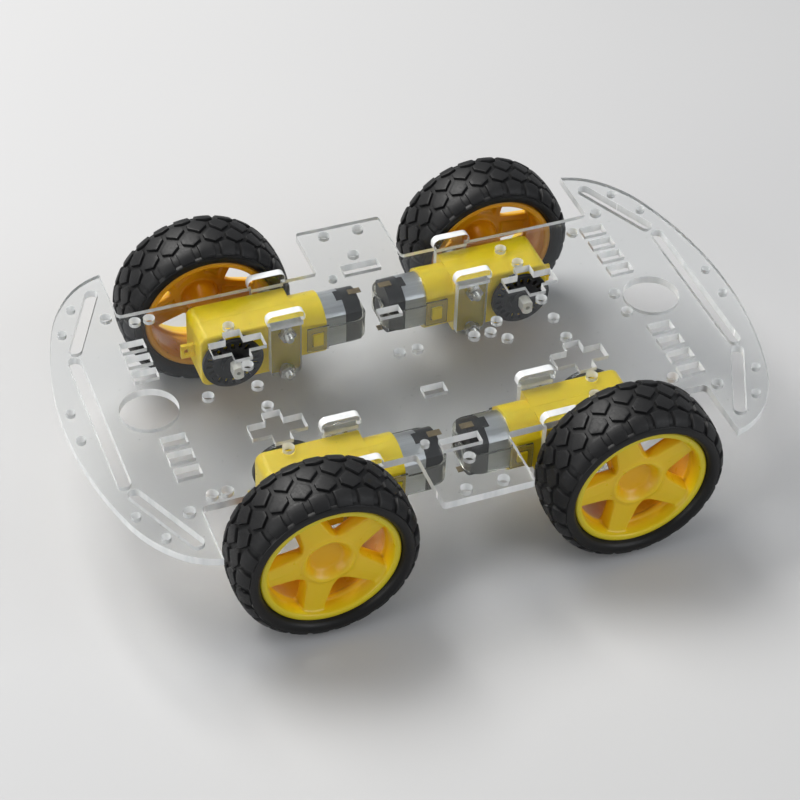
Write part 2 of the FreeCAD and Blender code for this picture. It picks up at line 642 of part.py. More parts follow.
four("motor_clip", clip)

four_grouped("motor_terminals", [
    box("terminal_top", (ux(52.2), ux(47.4)), (GB_Y - 1.3, GB_Y + 1.3), (AXLE_Z + 10.0, AXLE_Z + 10.4)),
    box("terminal_low", (ux(52.2), ux(47.4)), (GB_Y - 1.3, GB_Y + 1.3), (AXLE_Z - 10.4, AXLE_Z - 10.0))])


def magnet(name, s):
    c = flat_round(name + "_o", CAN_R - 0.95, CAN_FLAT - 1.0, 31.0, 41.2)
    keepbox = box(name + "_k", (ux(45), ux(30.5)), (GB_Y - 7, GB_Y + 7), (AXLE_Z + 3.2, AXLE_Z + 12) if s > 0 else (AXLE_Z - 12, AXLE_Z - 3.2))
    return cut(name, common(name + "_arc", c, keepbox), [cyl(name + "_i", 7.0, 14.0, (ux(45), GB_Y, AXLE_Z), "X")])


four_grouped("motor_magnets", [magnet("magnet_top", 1), magnet("magnet_low", -1)])


def bushing(name, u0, u1):
    return cut(name, cyl(name + "_o", 2.02, u1 - u0, (ux(u1), GB_Y, AXLE_Z), "X"), [cyl(name + "_i", 1.03, u1 - u0 + 1, (ux(u1 + 0.5), GB_Y, AXLE_Z), "X")])


four_grouped("motor_bushings", [bushing("bushing_front", 27.4, 29.7), bushing("bushing_rear", 48.9, 50.9)])

# ------------------------------------------------------------------ gears
PA = math.radians(25.0)


def inv(a):
    return math.tan(a) - a


def gear_points(n, m, phase, backlash=0.06, add=0.72, ded=0.95):
    """Closed outline of an involute gear with a tooth centred on angle phase."""
    rp = n * m / 2.0
    rb = rp * math.cos(PA)
    rt, rf = rp + add * m, rp - ded * m
    s = math.pi * m / 2 - backlash
    pts = []
    radii = [max(rb, rf + 0.02), rp, rt]
    half = []
    for r in radii:
        ar = math.acos(min(1.0, rb / r))
        half.append(s / (2 * rp) + inv(PA) - inv(ar))
    hf = half[0]
    for i in range(n):
        c = phase + 2 * math.pi * i / n
        pts.append((rf, c - hf))
        for r, h_ in zip(radii, half):
            pts.append((r, c - h_))
        for r, h_ in reversed(list(zip(radii, half))):
            pts.append((r, c + h_))
        pts.append((rf, c + hf))
    out = []
    for r, a in pts:
        p = (r * math.cos(a), r * math.sin(a))
        if not out or math.hypot(p[0] - out[-1][0], p[1] - out[-1][1]) > 1e-3:
            out.append(p)
    return out


# spur train in the XZ sketch plane: x = -u, so "towards the motor" is angle pi
O_C, I_C, C_C = (0.0, 0.0), (-IDLER_U, IDLER_W), (-CROWN_U, 0.0)


def ang(a, b):
    return math.atan2(b[1] - a[1], b[0] - a[0])


def spur(body, name, centre, n, m, phase, y_hi, width, bore=None):
    pts = [(centre[0] + x, centre[1] + y) for x, y in gear_points(n, m, phase)]
    g = loop(pts)
    if bore:
        g = g + [circle(centre[0], centre[1], bore)]
    sk = sketch(body, name + "_sketch", "XZ_Plane", g, -q(y_hi))
    return pad(body, name, sk, width)


M_A, M_B = 0.34, 0.38
# output gear, 40 teeth, with a gap facing the idler
og = new_body("output_gear", HALF_BASE, 0, AXLE_Z)
a_oi = ang(O_C, I_C)
spur(og, "output_teeth", O_C, 40, M_B, a_oi + math.pi / 40, GB_Y + 7.05, 2.1)
shaft_round = cyl("shaft_round", SHAFT_R, 2 * SHAFT_L, (HALF_BASE, GB_Y - SHAFT_L, AXLE_Z), "Y")
flats = []
for nm, y0, y1 in (("a", GB_Y - SHAFT_L - 1, IN_FACE - 0.4), ("b", OUT_FACE + 0.4, GB_Y + SHAFT_L + 1)):
    flats.append(box("shaft_flat_p" + nm, (HALF_BASE + SHAFT_FLAT, HALF_BASE + 4), (y0, y1), (AXLE_Z - 4, AXLE_Z + 4)))
    flats.append(box("shaft_flat_n" + nm, (HALF_BASE - 4, HALF_BASE - SHAFT_FLAT), (y0, y1), (AXLE_Z - 4, AXLE_Z + 4)))
shaft = cut("shaft_dd", shaft_round, flats + [cyl("shaft_hole_a", 0.8, 8.0, (HALF_BASE, GB_Y - SHAFT_L - 0.5, AXLE_Z), "Y"),
                                              cyl("shaft_hole_b", 0.8, 8.0, (HALF_BASE, GB_Y + SHAFT_L - 7.5, AXLE_Z), "Y")])
collar_a = cyl("shaft_collar_a", 3.4, 2.1, (HALF_BASE, GB_Y + 2.9, AXLE_Z), "Y")
collar_b = cyl("shaft_collar_b", 4.0, 0.6, (HALF_BASE, GB_Y - 7.7, AXLE_Z), "Y")
four("output_shaft", fuse("output_shaft", [og, shaft, collar_a, collar_b]))

# idler: 10 tooth pinion on the output gear, 32 tooth gear on the crown's pinion
ig = new_body("idler", HALF_BASE, 0, AXLE_Z)
a_ic = ang(I_C, C_C)
spur(ig, "idler_wheel", I_C, 32, M_A, a_ic, GB_Y + 4.55, 2.0, 0.8)
spur(ig, "idler_pinion", I_C, 10, M_B, ang(I_C, O_C), GB_Y + 7.3, 2.75, 0.8)
four("idler_gear", ig)

# crown gear: 36 face teeth towards the motor pinion, 12 tooth pinion to the idler
cg = new_body("crown", HALF_BASE, 0, AXLE_Z)
sk = sketch(cg, "crown_disc_sketch", "XZ_Plane", [circle(C_C[0], C_C[1], 6.5), circle(C_C[0], C_C[1], 0.8)], -(GB_Y - 1.85))
pad(cg, "crown_disc", sk, 1.5)
spur(cg, "crown_pinion", C_C, 12, M_A, ang(C_C, I_C) + math.pi / 12, GB_Y + 4.75, 6.65, 0.8)
teeth = []
pm = 2 * math.pi / 36
for i in range(36):
    c = math.pi + pm * (i + 0.5)
    w0, w1 = 0.78 / 2, 0.22 / 2
    lo, hi = GB_Y.v - 1.95, GB_Y.v - 1.13
    vs = []
    for r in (5.95, 6.45):
        for w_, y_ in ((w0, lo), (w1, hi)):
            for s_ in (-1, 1):
                vs.append(Vector(HALF_BASE.v + C_C[0] + r * math.cos(c) - s_ * w_ * math.sin(c), y_,
                                 AXLE_Z.v + r * math.sin(c) + s_ * w_ * math.cos(c)))
    # vs: 0,1 inner low; 2,3 inner high; 4,5 outer low; 6,7 outer high
    quads = [(0, 1, 3, 2), (4, 6, 7, 5), (0, 4, 5, 1), (2, 3, 7, 6), (0, 2, 6, 4), (1, 5, 7, 3)]
    faces = []
    for qd in quads:
        faces.append(Part.Face(Part.makePolygon([vs[j] for j in qd] + [vs[qd[0]]])))
    sh = Part.Shell(faces)
    so = Part.Solid(sh)
    if so.Volume < 0:
        so.reverse()
    teeth.append(so)
ft = doc.addObject("Part::Feature", "crown_face_teeth")
ft.Shape = Part.makeCompound(teeth)
crown = doc.addObject("Part::MultiFuse", "crown_gear")
crown.Shapes = [cg, ft]
four("crown_gear", crown)

# motor rotor: shaft, armature, commutator and the 8 tooth pinion
rot_shaft = cyl("rotor_shaft", 1.0, 30.6, (ux(50.8), GB_Y, AXLE_Z), "X")
com = cyl("rotor_commutator", 2.4, 3.0, (ux(44.6), GB_Y, AXLE_Z), "X")
core = cyl("rotor_core", 3.0, 9.9, (ux(41.5), GB_Y, AXLE_Z), "X")
poles = []
for i in range(3):
    a = math.radians(90 + 120 * i)
    p = doc.addObject("Part::Box", "rotor_pole%d" % i)
    p.Length, p.Width, p.Height = 8.6, 2.4, 5.9
    rotp = Rotation(Vector(1, 0, 0), math.degrees(a) - 90)
    basev = rotp.multVec(Vector(0, -1.2, 0))
    place(p, ux(40.6), GB_Y + basev.y, AXLE_Z + basev.z, rotp)
    poles.append(p)
    s_ = doc.addObject("Part::Box", "rotor_shoe%d" % i)
    s_.Length, s_.Width, s_.Height = 8.6, 5.4, 1.0
    basev = rotp.multVec(Vector(0, -2.7, 4.7))
    place(s_, ux(40.6), GB_Y + basev.y, AXLE_Z + basev.z, rotp)
    poles.append(s_)
pin_body = new_body("pinion", 0, GB_Y, AXLE_Z)
pts = gear_points(8, 0.35, math.pi, add=0.78, ded=0.9)
sk = sketch(pin_body, "pinion_sketch", "YZ_Plane", loop(pts), ux(24.2))
pad(pin_body, "pinion_pad", sk, 3.8)
four("motor_rotor", fuse("motor_rotor", [rot_shaft, com, core, pin_body] + poles))

# ------------------------------------------------------------------ encoder disc
ed = new_body("encoder", HALF_BASE, 0, AXLE_Z)
D_HI = IN_FACE - 1.05
slots = []
for i in range(20):
    a = 2 * math.pi * i / 20
    ca, sa = math.cos(a), math.sin(a)
    r0, r1, w = 7.6, 9.9, 0.68
    slots += loop([(r0 * ca + w * sa, r0 * sa - w * ca), (r1 * ca + w * sa, r1 * sa - w * ca), (r1 * ca - w * sa, r1 * sa + w * ca), (r0 * ca - w * sa, r0 * sa + w * ca)])
sk = sketch(ed, "disc_sketch", "XZ_Plane", [circle(0, 0, DISC_R.v)] + slots, -D_HI)
pad(ed, "disc_pad", sk, DISC_T)
hub = cyl("disc_hub", 4.6, DISC_T + 2.2, (HALF_BASE, D_HI - DISC_T - 2.2, AXLE_Z), "Y")


def dd_bore(name, y0, y1, clear):
    r = cyl(name + "_r", SHAFT_R + clear, q(y1) - q(y0), (HALF_BASE, y0, AXLE_Z), "Y")
    b = box(name + "_b", (HALF_BASE - SHAFT_FLAT - clear, HALF_BASE + SHAFT_FLAT + clear), (q(y0) - 1, q(y1) + 1), (AXLE_Z - 5, AXLE_Z + 5))
    return common(name, r, b)


disc = cut("encoder_disc", fuse("disc_solid", [ed, hub]), [dd_bore("disc_bore", D_HI - 6, D_HI + 1, 0.03)])
four("encoder_disc", disc)

# ------------------------------------------------------------------ wheel
hw = RIM_W.v / 2


def rim(name, phase):
    """Rim with drum, lips, five star arms, pockets and windows; outer side is +y."""
    b = new_body(name + "_turned", HALF_BASE, WHEEL_Y, AXLE_Z)
    R = RIM_R.v
    prof = loop([(0, 3.1), (7.0, 3.1), (21.2, 3.9), (21.2, -hw + 1.2), (22.0, -hw), (R, -hw), (R, -hw + 1.5), (22.9, -hw + 2.4),
                 (22.9, hw - 2.4), (R, hw - 1.5), (R, hw), (22.6, hw), (21.9, hw - 1.2), (21.4, 6.2),
                 (20.6, 8.6), (8.4, 7.6), (7.2, 6.4), (4.0, 5.3), (0, 5.0)])
    sk = sketch(b, name + "_profile", "XY_Plane", prof)
    revolve(b, name + "_revolution", sk)
    hubc = cyl(name + "_hub", 5.2, WHEEL_Y + 4 - (OUT_FACE + 0.9), (HALF_BASE, OUT_FACE + 0.9, AXLE_Z), "Y")
    hub2 = cyl(name + "_hub_root", 6.6, 9.0, (HALF_BASE, WHEEL_Y - 5.0, AXLE_Z), "Y")
    solid = fuse(name + "_solid", [b, hubc, hub2])
    tools = [dd_bore(name + "_bore", OUT_FACE + 0.5, GB_Y + SHAFT_L + 0.4, 0.03)]
    # pockets (recess from the outside) and windows (through)
    pk = new_body(name + "_pockets", HALF_BASE, WHEEL_Y, AXLE_Z)
    geo_p, geo_w = [], []
    for i in range(5):
        a = math.radians(phase + 72 * i)

        def rotp(r, t):
            return (r * math.cos(a + math.radians(t)), r * math.sin(a + math.radians(t)))

        p0, p1, p2, p3 = rotp(10.9, -4.5), rotp(20.5, -20.5), rotp(20.5, 20.5), rotp(10.9, 4.5)
        mid = rotp(20.9, 0)
        geo_p += loop([p0, p1, (p2[0], p2[1], "arc", mid[0], mid[1]), p3])
        w0, w1, w2 = rotp(11.4, 0), rotp(20.4, -19.0), rotp(20.4, 19.0)
        wm = rotp(20.8, 0)
        geo_w += loop([w0, w1, (w2[0], w2[1], "arc", wm[0], wm[1])])
    sk = sketch(pk, name + "_pocket_sketch", "XZ_Plane", geo_p, -12.0)
    pad(pk, name + "_pocket_pad", sk, 6.4)
    wk = new_body(name + "_windows", HALF_BASE, WHEEL_Y, AXLE_Z)
    sk = sketch(wk, name + "_window_sketch", "XZ_Plane", geo_w, -12.0)
    pad(wk, name + "_window_pad", sk, 11.0)
    return cut(name, solid, tools + [pk, wk])


# where the first window of each rim stands, before the corner is turned into place
RIM_PHASE = {"front_left": 35.0, "rear_left": 203.0, "front_right": -73.0, "rear_right": 105.0}
for k_ in CORNERS:
    base = rim("rim_" + k_, RIM_PHASE[k_])
    keep("wheel_rim_" + k_, base if k_ == "front_left" else turned("wheel_rim_" + k_, base, k_))

# tyre: seated between the rim lips, bulging past them
tb = new_body("tyre", HALF_BASE, WHEEL_Y, AXLE_Z)
T = TYRE_W.v / 2
TR = TYRE_R.v
prof = loop([(23.05, -hw + 2.7), (24.7, -hw + 1.6), (24.75, -hw - 0.2), (26.6, -T + 0.3), (28.6, -T), (30.4, -T + 0.7),
             (31.6, -T + 2.0), (TR - 0.25, -T + 4.6), (TR, -T + 8.0), (TR, T - 8.0), (TR - 0.25, T - 4.6),
             (31.6, T - 2.0), (30.4, T - 0.7), (28.6, T), (26.6, T - 0.3), (24.75, hw + 0.2), (24.7, hw - 1.6), (23.05, hw - 2.7)])
sk = sketch(tb, "tyre_profile", "XY_Plane", prof)
revolve(tb, "tyre_revolution", sk)
four("tyre", tb)

doc.recompute()

# ------------------------------------------------------------------ checks and export
for o in doc.Objects:
    if "Invalid" in o.State or "Error" in o.State:
        raise RuntimeError("object %s is in state %s" % (o.Label, o.State))
os.makedirs("parts", exist_ok=True)
for label in sorted(OUT):
    o = OUT[label]
    sh = o.Shape
    if sh.isNull() or not sh.isValid() or not sh.Solids:
        raise RuntimeError("part %s has no valid solid" % label)
    sh.exportStep("parts/%s.step" % label)
print("%d parts written" % len(OUT))
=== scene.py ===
import bmesh
import bpy
import math
import numpy as np
import openvdb
from mathutils import Matrix, Vector


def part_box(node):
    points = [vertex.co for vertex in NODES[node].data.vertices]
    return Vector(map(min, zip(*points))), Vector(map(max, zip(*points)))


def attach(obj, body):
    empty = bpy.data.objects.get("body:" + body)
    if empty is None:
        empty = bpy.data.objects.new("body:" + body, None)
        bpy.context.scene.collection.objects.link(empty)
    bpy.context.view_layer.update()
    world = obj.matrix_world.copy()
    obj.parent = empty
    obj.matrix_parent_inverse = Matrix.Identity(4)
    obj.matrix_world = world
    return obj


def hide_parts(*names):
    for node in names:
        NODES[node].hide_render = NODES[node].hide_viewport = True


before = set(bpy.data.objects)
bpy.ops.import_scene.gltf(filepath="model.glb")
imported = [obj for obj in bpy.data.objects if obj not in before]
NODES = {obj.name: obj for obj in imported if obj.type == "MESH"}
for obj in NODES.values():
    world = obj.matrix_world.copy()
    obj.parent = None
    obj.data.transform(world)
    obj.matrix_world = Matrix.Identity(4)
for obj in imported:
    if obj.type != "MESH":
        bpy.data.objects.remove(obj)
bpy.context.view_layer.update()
MM = 0.001
CORNERS = {"front_left": (1, 1), "front_right": (1, -1), "rear_left": (-1, 1), "rear_right": (-1, -1)}
AXLE = (55.75, 66.7, 32.5)

# ------------------------------------------------------------------ camera
cam_data = bpy.data.cameras.new("camera")
cam_data.lens = 101.35
cam_data.sensor_width = 36.0
cam_data.clip_start = 0.01
cam = bpy.data.objects.new("camera", cam_data)
bpy.context.scene.collection.objects.link(cam)
fwd = Vector((0.2807, 0.6836, -0.6737)).normalized()
up = Vector((0.2198, 0.6375, 0.7384))
right = fwd.cross(up).normalized()
up = right.cross(fwd).normalized()
m = Matrix.Identity(4)
for i in range(3):
    m[i][0], m[i][1], m[i][2] = right[i], up[i], -fwd[i]
m.translation = Vector((-0.22884, -0.55126, 0.56714))
cam.matrix_world = m
bpy.context.scene.camera = cam


# ------------------------------------------------------------------ node helpers
class Mat:
    """A small helper to write a Principled material as nodes."""

    def __init__(self, name):
        self.m = bpy.data.materials.new(name)
        self.m.use_nodes = True
        self.t = self.m.node_tree
        for n in list(self.t.nodes):
            self.t.nodes.remove(n)
        self.out = self.t.nodes.new("ShaderNodeOutputMaterial")
        self.p = self.t.nodes.new("ShaderNodeBsdfPrincipled")
        self.t.links.new(self.p.outputs[0], self.out.inputs[0])
        self.co = self.t.nodes.new("ShaderNodeTexCoord").outputs["Object"]

    def set(self, **kw):
        for k, v in kw.items():
            self.p.inputs[k.replace("_", " ")].default_value = v
        return self

    def link(self, a, b):
        self.t.links.new(a, b)

    def node(self, kind, **kw):
        n = self.t.nodes.new(kind)
        for k, v in kw.items():
            setattr(n, k, v)
        return n

    def scaled(self, s):
        n = self.node("ShaderNodeMapping")
        n.inputs["Scale"].default_value = s if isinstance(s, (tuple, list)) else (s, s, s)
        self.link(self.co, n.inputs["Vector"])
        return n.outputs[0]

    def noise(self, scale, detail=3.0, rough=0.5, vec=None, distortion=0.0):
        n = self.node("ShaderNodeTexNoise")
        n.inputs["Scale"].default_value = scale
        n.inputs["Detail"].default_value = detail
        n.inputs["Roughness"].default_value = rough
        n.inputs["Distortion"].default_value = distortion
        self.link(vec or self.co, n.inputs["Vector"])
        return n.outputs["Fac"]

    def voronoi(self, scale, vec=None):
        n = self.node("ShaderNodeTexVoronoi")
        n.inputs["Scale"].default_value = scale
        self.link(vec or self.co, n.inputs["Vector"])
        return n.outputs["Distance"]

    def ramp(self, fac, stops):
        n = self.node("ShaderNodeValToRGB")
        e = n.color_ramp.elements
        while len(e) < len(stops):
            e.new(0.5)
        for el, (pos, col) in zip(e, stops):
            el.position = pos
            el.color = col if len(col) == 4 else (*col, 1)
        self.link(fac, n.inputs[0])
        return n.outputs[0]

    def remap(self, fac, a, b, c, d):
        n = self.node("ShaderNodeMapRange")
        n.inputs["From Min"].default_value = a
        n.inputs["From Max"].default_value = b
        n.inputs["To Min"].default_value = c
        n.inputs["To Max"].default_value = d
        self.link(fac, n.inputs["Value"])
        return n.outputs[0]

    def math(self, op, a, b=None):
        n = self.node("ShaderNodeMath", operation=op)
        for i, v in enumerate((a, b)):
            if v is None:
                continue
            if isinstance(v, (int, float)):
                n.inputs[i].default_value = v
            else:
                self.link(v, n.inputs[i])
        return n.outputs[0]

    def mix(self, fac, a, b, blend="MIX"):
        n = self.node("ShaderNodeMix", data_type="RGBA", blend_type=blend)
        for key, v in ((0, fac), (6, a), (7, b)):
            if isinstance(v, (int, float)):
                n.inputs[key].default_value = v
            elif isinstance(v, tuple):
                n.inputs[key].default_value = v if len(v) == 4 else (*v, 1)
            else:
                self.link(v, n.inputs[key])
        return n.outputs[2]

    def color(self, out):
        self.link(out, self.p.inputs["Base Color"])
        return self

    def rough(self, out):
        self.link(out, self.p.inputs["Roughness"])
        return self

    def bump(self, height, dist, strength=1.0):
        n = self.node("ShaderNodeBump")
        n.inputs["Distance"].default_value = dist
        n.inputs["Strength"].default_value = strength
        self.link(height, n.inputs["Height"])
        prev = getattr(self, "_bump", None)
        if prev is not None:
            self.link(prev, n.inputs["Normal"])
        self._bump = n.outputs[0]
        for l in list(self.p.inputs["Normal"].links):
            self.t.links.remove(l)
        self.link(n.outputs[0], self.p.inputs["Normal"])
        return self


def acrylic(name, tint=(0.97, 0.985, 0.985)):
    a = Mat(name).set(Transmission_Weight=1.0, IOR=1.49, Roughness=0.0)
    dust = a.ramp(a.voronoi(210.0), [(0.0, (0.55, 0.56, 0.56)), (0.045, (0.55, 0.56, 0.56)), (0.06, tint), (1.0, tint)])
    a.color(dust)
    haze = a.remap(a.noise(38.0, 2.0), 0.35, 0.75, 0.0, 0.035)
    a.rough(haze)
    a.bump(a.noise(22.0, 1.0), 0.00002, 0.5)
    return a.m


def cut_edge(name):
    a = Mat(name).set(Transmission_Weight=0.22, IOR=1.49, Specular_IOR_Level=0.7)
    lines = a.noise(1.0, 2.0, vec=a.scaled((330.0, 330.0, 14.0)))
    a.color(a.ramp(lines, [(0.3, (0.84, 0.865, 0.87)), (0.55, (0.95, 0.96, 0.96)), (0.8, (1.0, 1.0, 1.0))]))
    a.rough(a.remap(lines, 0.3, 0.8, 0.10, 0.30))
    a.bump(lines, 0.00006, 0.35)
    return a.m


def moulded(name, base, deep, rough=0.34, sss=0.12, radius=(1.0, 0.45, 0.05), grain=0.00002):
    a = Mat(name).set(IOR=1.5, Subsurface_Weight=sss, Subsurface_Scale=0.0015, Coat_Weight=0.08, Coat_Roughness=0.12)
    a.p.inputs["Subsurface Radius"].default_value = radius
    cloud = a.noise(60.0, 4.0, 0.55)
    a.color(a.ramp(cloud, [(0.25, deep), (0.62, base), (1.0, tuple(min(1.0, c * 1.05) for c in base))]))
    a.rough(a.remap(a.noise(240.0, 3.0), 0.3, 0.75, rough - 0.06, rough + 0.09))
    a.bump(a.noise(900.0, 2.0), grain, 0.8)
    a.bump(a.noise(45.0, 1.0), 0.00006, 0.35)
    return a


def metal(name, base, rough, brush=(30.0, 1200.0, 1200.0), bump=0.00001):
    a = Mat(name).set(Metallic=1.0)
    streak = a.noise(1.0, 3.0, vec=a.scaled(brush))
    a.color(a.mix(a.remap(streak, 0.3, 0.7, 0.0, 1.0), tuple(c * 0.82 for c in base), base))
    a.rough(a.remap(streak, 0.25, 0.75, rough - 0.07, rough + 0.1))
    a.bump(streak, bump, 0.7)
    return a.m


def rubber(name, lo, hi, rough):
    a = Mat(name).set(IOR=1.5, Specular_IOR_Level=0.32)
    cloud = a.noise(70.0, 5.0, 0.6)
    fine = a.noise(1500.0, 2.0)
    a.color(a.ramp(cloud, [(0.3, lo), (0.75, hi)]))
    a.rough(a.remap(fine, 0.25, 0.75, rough - 0.07, rough + 0.1))
    a.bump(fine, 0.00003, 0.8)
    a.bump(a.noise(120.0, 2.0), 0.00006, 0.4)
    return a.m


M_DECK = acrylic("deck_clear")
M_EDGE = cut_edge("deck_cut_edge")
M_YELLOW = moulded("gearbox_yellow", (0.93, 0.70, 0.003), (0.90, 0.65, 0.003)).m
M_TYRE = rubber("tyre_tread", (0.006, 0.006, 0.0065), (0.013, 0.013, 0.0135), 0.50)
M_TYRE_SIDE = rubber("tyre_side", (0.004, 0.004, 0.0042), (0.007, 0.007, 0.0075), 0.42)
M_CAN = metal("motor_can", (0.62, 0.64, 0.66), 0.34)
M_STEEL = metal("screw_steel", (0.62, 0.61, 0.58), 0.26, (300.0, 300.0, 300.0))
M_BRASS = metal("terminal_brass", (0.30, 0.23, 0.13), 0.42, (300.0, 300.0, 300.0))
M_BRONZE = metal("bushing_bronze", (0.50, 0.34, 0.18), 0.4, (400.0, 400.0, 400.0))
M_ROTOR = metal("rotor_metal", (0.45, 0.40, 0.34), 0.4, (900.0, 60.0, 60.0))
M_MAGNET = rubber("magnet_ferrite", (0.03, 0.03, 0.032), (0.05, 0.05, 0.052), 0.5)
M_BLACK = rubber("cap_black", (0.010, 0.010, 0.011), (0.018, 0.018, 0.019), 0.34)
M_DISC = rubber("disc_black", (0.008, 0.008, 0.009), (0.014, 0.014, 0.015), 0.38)
M_NYLON = moulded("nylon_white", (0.80, 0.79, 0.73), (0.74, 0.72, 0.65), 0.42, 0.25, (1.0, 0.9, 0.7)).m


def strap_mat():
    a = Mat("clip_clear").set(Transmission_Weight=0.96, IOR=1.5)
    a.color(a.ramp(a.noise(90.0, 3.0), [(0.3, (0.88, 0.87, 0.76)), (0.7, (0.97, 0.97, 0.90))]))
    a.rough(a.remap(a.noise(300.0, 3.0), 0.3, 0.8, 0.03, 0.13))
    a.bump(a.noise(60.0, 2.0), 0.0001, 0.5)
    return a.m


M_CLIP = strap_mat()


def rim_mat():
    """Deep yellow with painted shade: darker and more orange further in from the rim's outer face, and olive at the
    outer lip; the wheel's own axis is Y.
    """
    a = moulded("rim_yellow_recess_shade", (0.80, 0.50, 0.004), (0.74, 0.43, 0.004), 0.33, 0.18, (1.0, 0.42, 0.04))
    sep = a.node("ShaderNodeSeparateXYZ")
    a.link(a.co, sep.inputs[0])
    depth = a.remap(sep.outputs["Y"], -0.001, 0.0105, 0.0, 1.0)
    # painted shade in the recesses: the colour turns darker and more orange deeper into the rim, away from its outer
    # face
    tint = a.ramp(depth, [(0.0, (0.74, 0.30, 0.003)), (0.35, (0.80, 0.37, 0.004)), (0.66, (0.82, 0.50, 0.005)), (0.9, (0.74, 0.56, 0.006)), (1.0, (0.66, 0.55, 0.010))])
    cloud = a.noise(60.0, 4.0, 0.55)
    a.color(a.mix(a.remap(cloud, 0.2, 0.8, 0.0, 0.30), tint, (0.86, 0.60, 0.008)))
    return a.m


M_RIM = rim_mat()

# ------------------------------------------------------------------ mesh helpers


def new_obj(name, me, mats, body, slot, *nodes):
    ob = bpy.data.objects.new(name, me)
    bpy.context.scene.collection.objects.link(ob)
    if not me.materials:
        for mt in mats:
            me.materials.append(mt)
    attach(ob, body)
    if nodes:
        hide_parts(*nodes)
    return ob


def soften(ob, width, segments=2, angle=35.0):
    b = ob.modifiers.new("bevel", "BEVEL")
    b.width = width * MM
    b.segments = segments
    b.limit_method = "ANGLE"
    b.angle_limit = math.radians(angle)
    b.harden_normals = True
    b.use_clamp_overlap = True
    return b


def refined(node, body, slot, mats, bevel=0.15, segments=2, edge_axis=None):
    """The CAD node's own shape with its flat faces joined up and its sharp edges softened."""
    bm = bmesh.new()
    bm.from_mesh(NODES[node].data)
    bmesh.ops.remove_doubles(bm, verts=bm.verts, dist=2e-6)
    bmesh.ops.dissolve_limit(bm, angle_limit=math.radians(0.8), verts=bm.verts, edges=bm.edges)
    for f in bm.faces:
        f.smooth = True
        f.material_index = 0
        if edge_axis is not None and len(mats) > 1:
            f.material_index = 1 if abs(f.normal[edge_axis]) < 0.7 else 0
    for e in bm.edges:
        e.smooth = not (len(e.link_faces) == 2 and e.calc_face_angle(0) > math.radians(35))
    me = bpy.data.meshes.new(node + "_fine")
    bm.to_mesh(me)
    bm.free()
    ob = new_obj(node + "_fine", me, mats, body, slot, node)
    if bevel:
        b = soften(ob, bevel, segments)
        if edge_axis is not None and len(mats) > 1:
            b.material = 1
    return ob


def mesh_from(name, verts, faces, smooth=True):
    me = bpy.data.meshes.new(name)
    me.from_pydata([tuple(v) for v in verts], [], [tuple(f) for f in faces])
    me.update()
    if smooth:
        me.shade_smooth()
    return me


# ------------------------------------------------------------------ deck and brackets
refined("deck_plate", "chassis", "acrylic", [M_DECK, M_EDGE], 0.12, 2, 2)
refined("inner_brackets", "chassis", "acrylic", [M_DECK, M_EDGE], 0.12, 2, 1)
refined("outer_brackets", "chassis", "acrylic", [M_DECK, M_EDGE], 0.12, 2, 1)

# ------------------------------------------------------------------ gear motors
for c in CORNERS:
    refined("gearbox_outer_shell_" + c, "chassis", "gearbox_plastic", [M_YELLOW], 0.22, 3)
    refined("gearbox_inner_shell_" + c, "chassis", "gearbox_plastic", [M_YELLOW], 0.22, 3)
    refined("motor_can_" + c, "chassis", "motor_steel", [M_CAN], 0.35, 3)
    refined("motor_end_cap_" + c, "chassis", "black_plastic", [M_BLACK], 0.3, 3)
    refined("motor_clip_" + c, "chassis", "clip_plastic", [M_CLIP], 0.18, 2)
    refined("motor_rotor_" + c, "rotor_" + c, "rotor_steel", [M_ROTOR], 0.0)
    refined("crown_gear_" + c, "crown_" + c, "nylon", [M_NYLON], 0.0)
    refined("idler_gear_" + c, "idler_" + c, "nylon", [M_NYLON], 0.0)
    refined("output_shaft_" + c, "wheel_" + c, "nylon", [M_NYLON], 0.2, 3)
    refined("encoder_disc_" + c, "wheel_" + c, "disc_plastic", [M_DISC], 0.12, 2)
refined("gear_pins", "chassis", "steel", [M_STEEL], 0.1)
refined("clamp_nuts", "chassis", "steel", [M_STEEL], 0.3, 3)
refined("gearbox_screws", "chassis", "steel", [M_STEEL], 0.25, 3)
refined("motor_terminals", "chassis", "brass", [M_BRASS], 0.1)
refined("motor_magnets", "chassis", "magnet", [M_MAGNET], 0.2)
refined("motor_bushings", "chassis", "bronze", [M_BRONZE], 0.1)


# ------------------------------------------------------------------ clamp screws with real threads
def screw_mesh():
    """M3 x 30 along Y: head on +y from y=0, shank to y=-30, rolled thread to 8 mm from the head."""
    verts, faces = [], []
    n = 28

    def ring(y, rad):
        a0 = len(verts)
        for i in range(n):
            a = 2 * math.pi * i / n
            verts.append((rad[i] * math.cos(a), y[i], rad[i] * math.sin(a)))
        return a0

    def flat(y, r):
        return ring([y] * n, [r] * n)

    rows = [flat(1.95, 0.35), flat(2.0, 1.2), flat(1.96, 1.9), flat(1.75, 2.38), flat(1.35, 2.66), flat(0.8, 2.74), flat(0.25, 2.74), flat(0.04, 2.66), flat(0.02, 2.2), flat(0.02, 1.46), flat(-4.0, 1.46)]
    steps = 52 * 8
    for k in range(steps + 1):
        y = -4.2 - 25.3 * k / steps
        rr = []
        for i in range(n):
            ph = (y / 0.5 - i / n) % 1.0
            depth = 0.27 * (1 - abs(2 * ph - 1)) ** 0.9
            rr.append(1.49 - depth)
        rows.append(ring([y] * n, rr))
    rows += [flat(-29.7, 1.15), flat(-29.96, 0.9), flat(-29.98, 0.05)]
    for a, b in zip(rows[:-1], rows[1:]):
        for i in range(n):
            j = (i + 1) % n
            faces.append((a + i, a + j, b + j, b + i))
    faces.append(tuple(rows[0] + i for i in range(n - 1, -1, -1)))
    faces.append(tuple(rows[-1] + i for i in range(n)))
    return verts, faces


